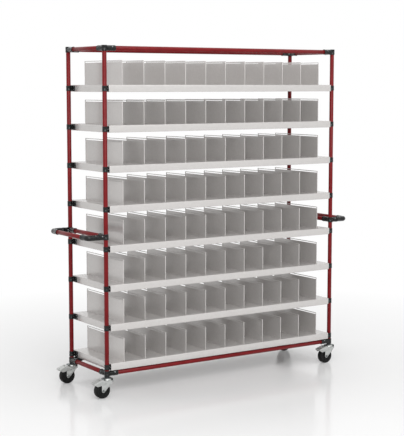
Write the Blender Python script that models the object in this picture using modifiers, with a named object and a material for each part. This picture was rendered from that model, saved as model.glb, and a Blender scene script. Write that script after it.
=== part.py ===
"""Handling trolley: a tube-and-joint rack of eight divided shelves on four braked swivel casters.

Lengths are in metres, +Z is up, +X runs along the long side and -Y faces the front. The origin is on
the floor under the middle of the trolley. All four casters trail towards -X.
"""

from math import cos, pi, radians, sin

import bmesh
import bpy
from mathutils import Matrix, Vector

COLLECTION_NAME = "handling_trolley"

# Fit between pieces, and how far a cutter runs past what it cuts
SEAT_GAP = 0.0003
CUT_OVERRUN = 0.002

# Frame: distances between tube axes
FRAME_LENGTH = 1.800
FRAME_DEPTH = 0.475
FRAME_TOP_HEIGHT = 2.183
TUBE_RADIUS = 0.014
TUBE_WALL = 0.0015
ROUND_SIDES = 12

# Clamping joints on the tubes
JOINT_WALL = 0.0037
JOINT_HEIGHT = 0.036
JOINT_SLEEVE_LENGTH = 0.075
JOINT_CAP = 0.003
SLEEVE_RELIEF = 0.0006
WEB_SHEET = 0.0036
WEB_REACH = 0.044
WEB_RIM = 0.004
COLLAR_RADIUS = TUBE_RADIUS + SEAT_GAP + JOINT_WALL
SLEEVE_RADIUS = COLLAR_RADIUS - SLEEVE_RELIEF

# Push handles at both ends, each a little above one of the shelves
HANDLE_SHELF = 4
HANDLE_ABOVE_SHELF = 0.055
HANDLE_TEE_LENGTH = 0.050
HANDLE_ARM_GAP = 0.003
ELBOW_BEND_RADIUS = 0.020
ELBOW_STEPS = 4

# Shelves: trays with their edges folded down and a return flange
SHELF_COUNT = 8
TOP_SHELF_DROP = 0.225
FIRST_CLAMP_GAP = 0.0052
SHELF_LIP = 0.044
SHELF_SHEET = 0.0015
SHELF_FLANGE = 0.014
SHELF_END_GAP = 0.003

# Dividers: a bar hoop with a sheet panel welded in, open under the hoop's top
DIVIDER_COUNT = 11
DIVIDER_END_BAY = 0.102
DIVIDER_HEIGHT = 0.153
DIVIDER_INSET = 0.0125
HOOP_BAR = 0.0045
PANEL_SHEET = 0.0015
PANEL_SLOT = 0.007

# Clamps on the uprights that carry the shelves: a ring, an ear and a plate on the tray's end
CLAMP_HEIGHT = 0.036
CLAMP_RING_WALL = 0.0024
CLAMP_EAR_WIDTH = 0.014
CLAMP_SHEET = 0.0025
CLAMP_PLATE_INWARD = 0.048
CLAMP_PLATE_OUTWARD = 0.018

# Caster wheel: the turned profile's half widths and radii
WHEEL_RADIUS = 0.050
WHEEL_WIDTH = 0.036
WHEEL_SIDES = 20
TREAD_SHOULDER = 0.003
TREAD_DEPTH = 0.008
RIM_RECESS = 0.005
RIM_WIDTH = 0.008
HUB_RADIUS = 0.013
HUB_PROUD = 0.0015
CASTER_TRAIL = 0.037

# Axle bolt
AXLE_RADIUS = 0.004
AXLE_HEAD_RADIUS = 0.0075
AXLE_HEAD_DEPTH = 0.005
RUNNING_GAP = 0.0003

# Fork: two legs under a crown, with a round swivel head on top
FORK_SHEET = 0.0025
FORK_SIDE_GAP = 0.002
FORK_EYE_RADIUS = 0.012
FORK_BACK = 0.034
FORK_FRONT = 0.028
FORK_BACK_SHOULDER = 0.015
FORK_FRONT_SHOULDER = 0.006
CROWN_GAP = 0.006
CROWN_SHEET = 0.004
HEAD_RADIUS = 0.028
HEAD_HEIGHT = 0.014
HEAD_CHAMFER = 0.004
HEAD_SINK = 0.001

# Lock plate: a bent strip over the swivel head, short at the back and long at the front
PLATE_SHEET = 0.003
PLATE_SINK = 0.0005
PLATE_WIDTH = 0.040
PLATE_SIDE_GAP = 0.004
PLATE_BACK_DROP = 0.006
PLATE_FRONT_DROP = 0.026

# Brake pedal: a channel over the wheel that turns on two pins of the fork
PEDAL_SHEET = 0.0025
PEDAL_SIDE_GAP = 0.0005
PEDAL_LENGTH = 0.100
PEDAL_RISE = 0.020
PEDAL_TIP_HEIGHT = 0.102
PEDAL_TIP_DEPTH = 0.008
PEDAL_TIP_LENGTH = 0.020
PEDAL_PLATE_GAP = 0.007
PEDAL_SKIRT_DEPTH = 0.042
PEDAL_EAR_RADIUS = 0.009
PEDAL_PIN_RADIUS = 0.003
PEDAL_PIN_BACK = 0.020
PEDAL_PIN_DROP = 0.008
SHOE_LENGTH = 0.010
SHOE_WIDTH = 0.020
SHOE_GAP = 0.0062

# Stem: a plug in the upright, a flange under the joint and the kingpin of the swivel
KINGPIN_RADIUS = 0.006
KINGPIN_HEAD_RADIUS = 0.010
KINGPIN_HEAD_DEPTH = 0.005
STEM_FLANGE_RADIUS = 0.0165
STEM_FLANGE_DEPTH = 0.0067
STEM_PLUG_LENGTH = 0.050

# Heights and widths that follow from the sizes above
AXLE_HEIGHT = WHEEL_RADIUS
CROWN_BOTTOM = AXLE_HEIGHT + WHEEL_RADIUS + CROWN_GAP
CROWN_TOP = CROWN_BOTTOM + CROWN_SHEET
HEAD_TOP = CROWN_TOP + HEAD_HEIGHT
PLATE_BOTTOM = HEAD_TOP - PLATE_SINK
PLATE_TOP = PLATE_BOTTOM + PLATE_SHEET
FLANGE_BOTTOM = PLATE_TOP + SEAT_GAP
FLANGE_TOP = FLANGE_BOTTOM + STEM_FLANGE_DEPTH
FRAME_BOTTOM = FLANGE_TOP + SEAT_GAP
FRAME_BASE_HEIGHT = FRAME_BOTTOM + JOINT_HEIGHT / 2
FRAME_TOP = FRAME_TOP_HEIGHT + JOINT_HEIGHT / 2
FORK_INNER = WHEEL_WIDTH / 2 + FORK_SIDE_GAP
FORK_OUTER = FORK_INNER + FORK_SHEET
PEDAL_INNER = FORK_OUTER + PEDAL_SIDE_GAP
PEDAL_OUTER = PEDAL_INNER + PEDAL_SHEET
PEDAL_PIN_HEIGHT = CROWN_BOTTOM - PEDAL_PIN_DROP
SHELF_LENGTH = FRAME_LENGTH - 2 * (COLLAR_RADIUS + SHELF_END_GAP)
SHELF_DEPTH = FRAME_DEPTH + 2 * COLLAR_RADIUS
FIRST_CLAMP_HEIGHT = FRAME_BOTTOM + JOINT_HEIGHT + FIRST_CLAMP_GAP + CLAMP_HEIGHT / 2
FIRST_SHELF_HEIGHT = FIRST_CLAMP_HEIGHT + SHELF_LIP / 2
SHELF_PITCH = (FRAME_TOP_HEIGHT - TOP_SHELF_DROP - FIRST_SHELF_HEIGHT) / (SHELF_COUNT - 1)
HANDLE_HEIGHT = FIRST_SHELF_HEIGHT + (HANDLE_SHELF - 1) * SHELF_PITCH + HANDLE_ABOVE_SHELF
HANDLE_REACH = HANDLE_TEE_LENGTH + HANDLE_ARM_GAP + JOINT_SLEEVE_LENGTH
DIVIDER_DEPTH = SHELF_DEPTH - 2 * DIVIDER_INSET
DIVIDER_PITCH = (SHELF_LENGTH - 2 * DIVIDER_END_BAY) / (DIVIDER_COUNT - 1)

FLAT_ANGLE = 0.05
FORK_EYE_ANGLES = (180, 210, 240, 270, 300, 320)
PEDAL_EAR_ANGLES = (-90, -45, 0, 45, 75)
SMOOTH_ANGLE = 35

X_AXIS = Vector((1, 0, 0))
Y_AXIS = Vector((0, 1, 0))
Z_AXIS = Vector((0, 0, 1))
SIDES_X = {"left": -1, "right": 1}
SIDES_Y = {"front": -1, "rear": 1}


def clear_scene():
    """Remove whatever the file opened with."""
    for item in list(bpy.data.objects):
        bpy.data.objects.remove(item)


def make_collection(name):
    """Return a new collection in the scene."""
    collection = bpy.data.collections.new(name)
    bpy.context.scene.collection.children.link(collection)
    return collection


def make_material(name, colour, roughness, metallic):
    """Return a Principled material of one colour."""
    material = bpy.data.materials.new(name)
    material.use_nodes = True
    shader = material.node_tree.nodes["Principled BSDF"]
    shader.inputs["Base Color"].default_value = (*colour, 1)
    shader.inputs["Roughness"].default_value = roughness
    shader.inputs["Metallic"].default_value = metallic
    material.diffuse_color = (*colour, 1)
    return material


def red_tube_material():
    """Red plastic-coated steel tube."""
    return make_material("red_coated_tube", (0.32, 0.022, 0.028), 0.35, 0.0)


def joint_material():
    """Black-coated steel joints and clamps."""
    return make_material("black_joint", (0.018, 0.02, 0.021), 0.3, 0.6)


def sheet_material():
    """Grey galvanised sheet of shelves and dividers."""
    return make_material("grey_sheet", (0.50, 0.49, 0.48), 0.4, 0.5)


def zinc_material():
    """Bright zinc-plated steel of the forks and pedals."""
    return make_material("zinc_plate", (0.72, 0.72, 0.71), 0.3, 0.8)


def dark_steel_material():
    """Dark steel of the stems and lock plates."""
    return make_material("dark_steel", (0.045, 0.048, 0.05), 0.4, 0.7)


def rubber_material():
    """Black rubber of the wheels."""
    return make_material("black_rubber", (0.012, 0.012, 0.012), 0.55, 0.0)


def link(collection, name, mesh):
    """Return a new object of the mesh, in the collection."""
    item = bpy.data.objects.new(name, mesh)
    collection.objects.link(item)
    return item


def from_bmesh(name, bm):
    """Return a mesh made from the bmesh, which is freed."""
    mesh = bpy.data.meshes.new(name)
    bm.to_mesh(mesh)
    bm.free()
    return mesh


def evaluated_mesh(item):
    """Return a copy of the object's mesh with its modifiers in it."""
    graph = bpy.context.evaluated_depsgraph_get()
    return bpy.data.meshes.new_from_object(item.evaluated_get(graph))


def scratch(mesh):
    """Return a loose object of the mesh, to be modelled on."""
    return link(bpy.context.scene.collection, mesh.name, mesh)


def cylinder(radius, length, direction=Z_AXIS, start=Vector((0, 0, 0)), sides=ROUND_SIDES):
    """Return a cylinder that runs from start along direction."""
    bm = bmesh.new()
    bmesh.ops.create_cone(bm, cap_ends=True, segments=sides, radius1=radius, radius2=radius, depth=length)
    turn = Z_AXIS.rotation_difference(direction).to_matrix().to_4x4()
    middle = Matrix.Translation(Vector(start) + direction * length / 2)
    bmesh.ops.transform(bm, matrix=middle @ turn, verts=bm.verts)
    return scratch(from_bmesh("cylinder", bm))


def box(low, high):
    """Return a box between two corners."""
    low, high = Vector(low), Vector(high)
    bm = bmesh.new()
    bmesh.ops.create_cube(bm, size=1)
    size = Matrix.Diagonal((*(high - low), 1))
    bmesh.ops.transform(bm, matrix=Matrix.Translation((low + high) / 2) @ size, verts=bm.verts)
    return scratch(from_bmesh("box", bm))


def plate(outline, half_width):
    """Return an outline in the XZ plane as a plate that reaches half_width to both sides of it."""
    curve = bpy.data.curves.new("outline", "CURVE")
    curve.dimensions = "2D"
    curve.fill_mode = "BOTH"
    curve.extrude = half_width
    spline = curve.splines.new("POLY")
    spline.points.add(len(outline) - 1)
    for point, (x, z) in zip(spline.points, outline):
        point.co = (x, z, 0, 1)
    spline.use_cyclic_u = True
    flat = link(bpy.context.scene.collection, "outline", curve)
    mesh = evaluated_mesh(flat)
    bpy.data.objects.remove(flat)
    mesh.transform(Matrix.Rotation(pi / 2, 4, "X"))
    return scratch(welded(mesh))


def welded(mesh):
    """Close a converted curve: its caps are loose until their points are merged."""
    bm = bmesh.new()
    bm.from_mesh(mesh)
    bmesh.ops.remove_doubles(bm, verts=bm.verts, dist=SEAT_GAP / 10)
    bmesh.ops.recalc_face_normals(bm, faces=bm.faces)
    bm.to_mesh(mesh)
    bm.free()
    return mesh


def turned(profile, sides, start_angle=0):
    """Return a closed profile of (radius, height) pairs turned about Z.

    The profile runs top to bottom down its outer side.
    """
    bm = bmesh.new()
    points = [(radius * cos(start_angle), radius * sin(start_angle), height) for radius, height in profile]
    verts = [bm.verts.new(point) for point in points]
    for first, second in zip(verts, verts[1:] + verts[:1]):
        if profile[verts.index(first)][0] or profile[verts.index(second)][0]:
            bm.edges.new((first, second))
    item = scratch(from_bmesh("turned", bm))
    screw = item.modifiers.new("turn", "SCREW")
    screw.angle = 2 * pi
    screw.steps = sides
    screw.render_steps = sides
    screw.use_merge_vertices = True
    screw.merge_threshold = SEAT_GAP / 10
    return applied(item)


def applied(item):
    """Put the object's modifiers into its mesh."""
    mesh = evaluated_mesh(item)
    item.modifiers.clear()
    item.data = mesh
    return item


def combine(item, other, operation):
    """Join the other object to the item, or cut it away, and remove it."""
    step = item.modifiers.new("combine", "BOOLEAN")
    step.operation = operation
    step.solver = "EXACT"
    step.object = other
    applied(item)
    bpy.data.objects.remove(other)
    return item


def join(item, *others):
    """Fuse the others to the item."""
    for other in others:
        combine(item, other, "UNION")
    return item


def cut(item, *tools):
    """Cut the tools out of the item."""
    for tool in tools:
        combine(item, tool, "DIFFERENCE")
    return item


def placed(item, matrix):
    """Move the object's mesh by the matrix."""
    item.data.transform(matrix)
    return item


def repeated(item, count, step):
    """Repeat the object in a row of separate bodies."""
    row = item.modifiers.new("row", "ARRAY")
    row.count = count
    row.use_relative_offset = False
    row.use_constant_offset = True
    row.constant_offset_displace = step
    return applied(item)


def merged_flats(mesh):
    """Merge the faces that lie in one plane, which joins and cuts have split."""
    bm = bmesh.new()
    bm.from_mesh(mesh)
    bmesh.ops.dissolve_limit(bm, angle_limit=radians(FLAT_ANGLE), verts=bm.verts, edges=bm.edges)
    bm.to_mesh(mesh)
    bm.free()
    return mesh


def finished(item, name, material):
    """Turn a loose object into the mesh of a named part."""
    mesh = merged_flats(item.data)
    bpy.data.objects.remove(item)
    mesh.name = name
    mesh.materials.clear()
    mesh.materials.append(material)
    mesh.shade_smooth()
    mesh.set_sharp_from_angle(angle=radians(SMOOTH_ANGLE))
    return mesh


def node(collection, name, mesh, location, turn=0, parent=None):
    """Place a mesh as a named part at a world point, turned about Z by an angle in degrees."""
    item = link(collection, name, mesh)
    item.location = Vector(location)
    item.rotation_euler.z = radians(turn)
    if parent:
        item.parent = parent
        item.location = Vector(location) - parent.location
    return item


def empty(collection, name, location):
    """Return an empty at a world point, which carries what turns there."""
    item = bpy.data.objects.new(name, None)
    collection.objects.link(item)
    item.location = Vector(location)
    return item


def tube(start, direction, length):
    """Return a hollow round tube."""
    bm = bmesh.new()
    bmesh.ops.create_cone(
        bm, cap_ends=False, segments=ROUND_SIDES, radius1=TUBE_RADIUS, radius2=TUBE_RADIUS, depth=length
    )
    turn = Z_AXIS.rotation_difference(direction).to_matrix().to_4x4()
    middle = Matrix.Translation(Vector(start) + direction * length / 2)
    bmesh.ops.transform(bm, matrix=middle @ turn, verts=bm.verts)
    item = scratch(from_bmesh("tube", bm))
    wall = item.modifiers.new("wall", "SOLIDIFY")
    wall.thickness = TUBE_WALL
    wall.offset = -1
    wall.use_even_offset = True
    return applied(item)


def corner_point(side_x, side_y, height):
    """Return a point on an upright's axis."""
    return Vector((side_x * FRAME_LENGTH / 2, side_y * FRAME_DEPTH / 2, height))


def corner_turn(side_x, side_y):
    """Return the turn in degrees that brings the front left corner's part to another corner."""
    return {(-1, -1): 0, (1, -1): 90, (1, 1): 180, (-1, 1): 270}[side_x, side_y]


def laid_flat(item):
    """Turn a plate in the XZ plane to lie level, its outline's second axis along +Y."""
    return placed(item, Matrix.Rotation(-pi / 2, 4, "X"))


def web():
    """Return the flat web in the crook of a corner joint, where its halves are bolted together."""
    root = SLEEVE_RADIUS - JOINT_WALL / 2
    rim = SLEEVE_RADIUS + WEB_RIM
    outline = [(root, root), (WEB_REACH, root), (WEB_REACH, rim), (rim, WEB_REACH), (root, WEB_REACH)]
    return laid_flat(plate(outline, WEB_SHEET / 2))


def clamp_joint(arms, capped=False):
    """Return a joint that clamps a vertical tube at its origin and one tube along each arm.

    Each arm is a direction and the length of its sleeve. A capped joint closes the upright's top.
    """
    bottom = -Z_AXIS * JOINT_HEIGHT / 2
    item = cylinder(COLLAR_RADIUS, JOINT_HEIGHT, start=bottom)
    for way, length in arms:
        join(item, cylinder(SLEEVE_RADIUS, length, way))
    bore_radius = TUBE_RADIUS + SEAT_GAP
    depth = JOINT_HEIGHT - JOINT_CAP if capped else JOINT_HEIGHT + CUT_OVERRUN
    cut(item, cylinder(bore_radius, depth + CUT_OVERRUN, start=bottom - Z_AXIS * CUT_OVERRUN))
    for way, length in arms:
        drill_length = length - COLLAR_RADIUS + CUT_OVERRUN
        cut(item, cylinder(bore_radius, drill_length, way, way * COLLAR_RADIUS))
    return item


def corner_joint(capped):
    """Return a three-way joint with its arms along +X and +Y and a web between them."""
    arms = [(X_AXIS, JOINT_SLEEVE_LENGTH), (Y_AXIS, JOINT_SLEEVE_LENGTH)]
    return join(clamp_joint(arms, capped), web())


def bent_rod(points, radius):
    """Return a solid round rod through the points."""
    curve = bpy.data.curves.new("rod", "CURVE")
    curve.dimensions = "3D"
    curve.bevel_depth = radius
    curve.bevel_resolution = ROUND_SIDES // 2 - 2
    curve.use_fill_caps = True
    spline = curve.splines.new("POLY")
    spline.points.add(len(points) - 1)
    for target, point in zip(spline.points, points):
        target.co = (*point, 1)
    rod = link(bpy.context.scene.collection, "rod", curve)
    mesh = evaluated_mesh(rod)
    bpy.data.objects.remove(rod)
    return scratch(welded(mesh))


def elbow_joint(way_in, way_across):
    """Return the arm of a handle with the bent joint that takes its bar, from the bend's corner."""
    bend_centre = (way_in + way_across) * ELBOW_BEND_RADIUS
    points = [way_in * JOINT_SLEEVE_LENGTH]
    for step in range(ELBOW_STEPS + 1):
        angle = step / ELBOW_STEPS * pi / 2
        spoke = way_across * cos(angle) + way_in * sin(angle)
        points.append(bend_centre - spoke * ELBOW_BEND_RADIUS)
    points.append(way_across * JOINT_SLEEVE_LENGTH)
    item = bent_rod(points, SLEEVE_RADIUS)
    arm_start = way_in * (JOINT_SLEEVE_LENGTH - SLEEVE_RADIUS)
    arm_length = HANDLE_REACH - COLLAR_RADIUS - SEAT_GAP - JOINT_SLEEVE_LENGTH + SLEEVE_RADIUS
    join(item, cylinder(TUBE_RADIUS, arm_length, way_in, arm_start))
    bore_start = way_across * ELBOW_BEND_RADIUS
    bore_length = JOINT_SLEEVE_LENGTH - ELBOW_BEND_RADIUS + CUT_OVERRUN
    return cut(item, cylinder(TUBE_RADIUS + SEAT_GAP, bore_length, way_across, bore_start))


def clamp_outline(inward):
    """Return the outline, seen from above, of a shelf clamp.

    A ring on the tube, an ear towards +X and a plate on the tray's end that reaches along Y inward.
    """
    reach = COLLAR_RADIUS + SHELF_END_GAP - SEAT_GAP
    back = reach - CLAMP_SHEET
    ear = CLAMP_EAR_WIDTH / 2
    radius = TUBE_RADIUS + CLAMP_RING_WALL
    angles = [2 * pi * step / ROUND_SIDES for step in range(1, ROUND_SIDES)]
    ring = [(radius * cos(angle), radius * sin(angle)) for angle in angles]
    outline = [
        (reach, -CLAMP_PLATE_OUTWARD),
        (reach, CLAMP_PLATE_INWARD),
        (back, CLAMP_PLATE_INWARD),
        (back, ear),
        (TUBE_RADIUS, ear),
        *ring,
        (TUBE_RADIUS, -ear),
        (back, -ear),
        (back, -CLAMP_PLATE_OUTWARD),
    ]
    return [(x, y * inward) for x, y in outline]


def upright(inward):
    """Return an upright tube from its foot, with a clamp for each shelf towards +X."""
    height = FRAME_TOP - JOINT_CAP - SEAT_GAP - FRAME_BOTTOM
    item = cylinder(TUBE_RADIUS, height)
    clamp = laid_flat(plate(clamp_outline(inward), CLAMP_HEIGHT / 2))
    placed(clamp, Matrix.Translation((0, 0, FIRST_CLAMP_HEIGHT - FRAME_BOTTOM)))
    join(item, repeated(clamp, SHELF_COUNT, (0, 0, SHELF_PITCH)))
    bore_start = Vector((0, 0, -CUT_OVERRUN))
    return cut(item, cylinder(TUBE_RADIUS - TUBE_WALL, height + 2 * CUT_OVERRUN, start=bore_start))


def build_uprights(collection, material):
    """Four uprights from the caster stems to the capped top joints."""
    meshes = {inward: finished(upright(inward), "upright", material) for inward in (-1, 1)}
    for name_x, side_x in SIDES_X.items():
        for name_y, side_y in SIDES_Y.items():
            foot = corner_point(side_x, side_y, FRAME_BOTTOM)
            mesh = meshes[side_x * side_y]
            node(collection, f"upright_{name_y}_{name_x}", mesh, foot, 180 if side_x > 0 else 0)


def build_rails(collection, material):
    """Four tubes round the top and four round the base, between the joints' collars."""
    setback = COLLAR_RADIUS + SEAT_GAP
    origin = Vector((0, 0, 0))
    long_tube = finished(tube(origin, X_AXIS, FRAME_LENGTH - 2 * setback), "long_tube", material)
    short_tube = finished(tube(origin, Y_AXIS, FRAME_DEPTH - 2 * setback), "short_tube", material)
    for level, height in (("top", FRAME_TOP_HEIGHT), ("base", FRAME_BASE_HEIGHT)):
        for name, side in SIDES_Y.items():
            start = corner_point(-1, side, height) + X_AXIS * setback
            node(collection, f"{level}_tube_{name}", long_tube, start)
        for name, side in SIDES_X.items():
            start = corner_point(side, -1, height) + Y_AXIS * setback
            node(collection, f"{level}_tube_{name}", short_tube, start)


def build_corner_joints(collection, material):
    """Three-way joints at the four top and the four base corners."""
    for level, height, capped in (("top", FRAME_TOP_HEIGHT, True), ("base", FRAME_BASE_HEIGHT, False)):
        mesh = finished(corner_joint(capped), f"{level}_joint", material)
        for name_x, side_x in SIDES_X.items():
            for name_y, side_y in SIDES_Y.items():
                centre = corner_point(side_x, side_y, height)
                name = f"{level}_joint_{name_y}_{name_x}"
                node(collection, name, mesh, centre, corner_turn(side_x, side_y))


def build_handle(collection, name, side, red, black):
    """A push handle: two arms on the uprights, a bar across their ends and a cross tube behind it."""
    outward = X_AXIS * side
    for name_y, side_y in SIDES_Y.items():
        centre = corner_point(side, side_y, HANDLE_HEIGHT)
        inward = Y_AXIS * -side_y
        tee = clamp_joint([(outward, HANDLE_TEE_LENGTH), (inward, JOINT_SLEEVE_LENGTH)])
        tee_name = f"handle_tee_{name_y}_{name}"
        node(collection, tee_name, finished(tee, tee_name, black), centre)
        elbow_name = f"handle_elbow_{name_y}_{name}"
        elbow = finished(elbow_joint(-outward, inward), elbow_name, black)
        node(collection, elbow_name, elbow, centre + outward * HANDLE_REACH)
    origin = Vector((0, 0, 0))
    front = corner_point(side, -1, HANDLE_HEIGHT)
    setback = COLLAR_RADIUS + SEAT_GAP
    cross_name = f"handle_cross_tube_{name}"
    cross = finished(tube(origin, Y_AXIS, FRAME_DEPTH - 2 * setback), cross_name, red)
    node(collection, cross_name, cross, front + Y_AXIS * setback)
    inset = ELBOW_BEND_RADIUS + SEAT_GAP
    bar_name = f"handle_bar_{name}"
    bar = finished(tube(origin, Y_AXIS, FRAME_DEPTH - 2 * inset), bar_name, red)
    node(collection, bar_name, bar, front + outward * HANDLE_REACH + Y_AXIS * inset)


def shelf_tray():
    """Return a tray with its edges folded down and under, its top surface at zero height."""
    bm = bmesh.new()
    bmesh.ops.create_cube(bm, size=1)
    size = Matrix.Diagonal((SHELF_LENGTH, SHELF_DEPTH, SHELF_LIP, 1))
    middle = Matrix.Translation((0, 0, -SHELF_LIP / 2))
    bmesh.ops.transform(bm, matrix=middle @ size, verts=bm.verts)
    bottom = [face for face in bm.faces if face.normal.z < 0]
    bmesh.ops.delete(bm, geom=bottom, context="FACES_ONLY")
    rim = [edge for edge in bm.edges if edge.is_boundary]
    folded = bmesh.ops.extrude_edge_only(bm, edges=rim)["geom"]
    for vert in [item for item in folded if isinstance(item, bmesh.types.BMVert)]:
        vert.co.x -= SHELF_FLANGE if vert.co.x > 0 else -SHELF_FLANGE
        vert.co.y -= SHELF_FLANGE if vert.co.y > 0 else -SHELF_FLANGE
    bmesh.ops.recalc_face_normals(bm, faces=bm.faces)
    item = scratch(from_bmesh("tray", bm))
    wall = item.modifiers.new("sheet", "SOLIDIFY")
    wall.thickness = SHELF_SHEET
    wall.offset = -1
    wall.use_even_offset = True
    return applied(item)


def divider():
    """Return one divider across the shelf, its foot sunk into the tray's sheet."""
    half = DIVIDER_DEPTH / 2
    inner = half - HOOP_BAR
    foot = -SHELF_SHEET / 2
    outline = [
        (-half, foot),
        (-half, DIVIDER_HEIGHT),
        (half, DIVIDER_HEIGHT),
        (half, foot),
        (inner, foot),
        (inner, DIVIDER_HEIGHT - HOOP_BAR),
        (-inner, DIVIDER_HEIGHT - HOOP_BAR),
        (-inner, foot),
    ]
    hoop = placed(plate(outline, HOOP_BAR / 2), Matrix.Rotation(pi / 2, 4, "Z"))
    reach = inner + HOOP_BAR / 2
    top = DIVIDER_HEIGHT - HOOP_BAR - PANEL_SLOT
    return join(hoop, box((-PANEL_SHEET / 2, -reach, foot), (PANEL_SHEET / 2, reach, top)))


def build_shelves(collection, material):
    """Eight trays, each with its row of dividers welded on."""
    first = -DIVIDER_PITCH * (DIVIDER_COUNT - 1) / 2
    leftmost = placed(divider(), Matrix.Translation((first, 0, 0)))
    row = repeated(leftmost, DIVIDER_COUNT, (DIVIDER_PITCH, 0, 0))
    mesh = finished(join(shelf_tray(), row), "shelf", material)
    for level in range(SHELF_COUNT):
        height = FIRST_SHELF_HEIGHT + level * SHELF_PITCH
        node(collection, f"shelf_{level + 1}", mesh, (0, 0, height))


def wheel():
    """Return a wheel about its axle along Y, with one flat of its tread facing down."""
    half = WHEEL_WIDTH / 2
    scale = 1 / cos(pi / WHEEL_SIDES)
    side = [
        ((AXLE_RADIUS + RUNNING_GAP) * scale, half + HUB_PROUD),
        (HUB_RADIUS, half + HUB_PROUD),
        (WHEEL_RADIUS - TREAD_DEPTH - RIM_WIDTH, half - RIM_RECESS),
        (WHEEL_RADIUS - TREAD_DEPTH, half),
        (WHEEL_RADIUS * scale, half - TREAD_SHOULDER),
    ]
    mirrored = [(radius, -height) for radius, height in reversed(side)]
    item = turned(side + mirrored, WHEEL_SIDES, pi / WHEEL_SIDES)
    return placed(item, Matrix.Rotation(pi / 2, 4, "X"))


def axle():
    """Return the axle bolt along Y, headed on both sides of the fork."""
    seat = FORK_OUTER + SEAT_GAP
    end = seat + AXLE_HEAD_DEPTH
    side = [(0, end), (AXLE_HEAD_RADIUS, end), (AXLE_HEAD_RADIUS, seat), (AXLE_RADIUS, seat)]
    mirrored = [(radius, -height) for radius, height in reversed(side)]
    item = turned(side + mirrored, ROUND_SIDES)
    return placed(item, Matrix.Rotation(pi / 2, 4, "X"))


def fork_outline():
    """Return the side view of the fork's legs: a round eye below, a slanted front, a crown on top."""
    foot = []
    for angle in FORK_EYE_ANGLES:
        x = -CASTER_TRAIL + FORK_EYE_RADIUS * cos(radians(angle))
        foot.append((x, AXLE_HEIGHT + FORK_EYE_RADIUS * sin(radians(angle))))
    return [
        (-CASTER_TRAIL - FORK_EYE_RADIUS, CROWN_BOTTOM - FORK_BACK_SHOULDER),
        *foot,
        (FORK_FRONT, CROWN_BOTTOM - FORK_FRONT_SHOULDER),
        (FORK_FRONT, CROWN_TOP),
        (-FORK_BACK, CROWN_TOP),
    ]


def lock_plate():
    """Return the bent strip that lies over the swivel head."""
    front = HEAD_RADIUS + PLATE_SIDE_GAP
    outline = [
        (-front, PLATE_BOTTOM),
        (-front, PLATE_BOTTOM - PLATE_BACK_DROP),
        (-front - PLATE_SHEET, PLATE_BOTTOM - PLATE_BACK_DROP),
        (-front - PLATE_SHEET, PLATE_TOP),
        (front + PLATE_SHEET, PLATE_TOP),
        (front + PLATE_SHEET, PLATE_BOTTOM - PLATE_FRONT_DROP),
        (front, PLATE_BOTTOM - PLATE_FRONT_DROP),
        (front, PLATE_BOTTOM),
    ]
    return plate(outline, PLATE_WIDTH / 2)


def fork():
    """Return the fork with its swivel head, lock plate and the pedal's two pins."""
    item = plate(fork_outline(), FORK_OUTER)
    reach = CASTER_TRAIL + WHEEL_RADIUS
    cut(item, box((-reach, -FORK_INNER, 0), (reach, FORK_INNER, CROWN_BOTTOM)))
    head = [
        (0, HEAD_TOP),
        (HEAD_RADIUS - HEAD_CHAMFER, HEAD_TOP),
        (HEAD_RADIUS, HEAD_TOP - HEAD_CHAMFER),
        (HEAD_RADIUS, CROWN_TOP - HEAD_SINK),
        (0, CROWN_TOP - HEAD_SINK),
    ]
    join(item, turned(head, ROUND_SIDES), lock_plate())
    kingpin_start = Vector((0, 0, CROWN_BOTTOM - CUT_OVERRUN))
    kingpin_length = PLATE_TOP - CROWN_BOTTOM + 2 * CUT_OVERRUN
    cut(item, cylinder(KINGPIN_RADIUS + RUNNING_GAP, kingpin_length, start=kingpin_start))
    axle_start = Vector((-CASTER_TRAIL, -FORK_OUTER - CUT_OVERRUN, AXLE_HEIGHT))
    cut(item, cylinder(AXLE_RADIUS + SEAT_GAP, 2 * (FORK_OUTER + CUT_OVERRUN), Y_AXIS, axle_start))
    for side in SIDES_Y.values():
        start = Vector((-PEDAL_PIN_BACK, side * (FORK_OUTER - FORK_SHEET / 2), PEDAL_PIN_HEIGHT))
        pin_length = PEDAL_OUTER - FORK_OUTER + FORK_SHEET / 2
        join(item, cylinder(PEDAL_PIN_RADIUS, pin_length, Y_AXIS * side, start))
    return item


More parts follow.
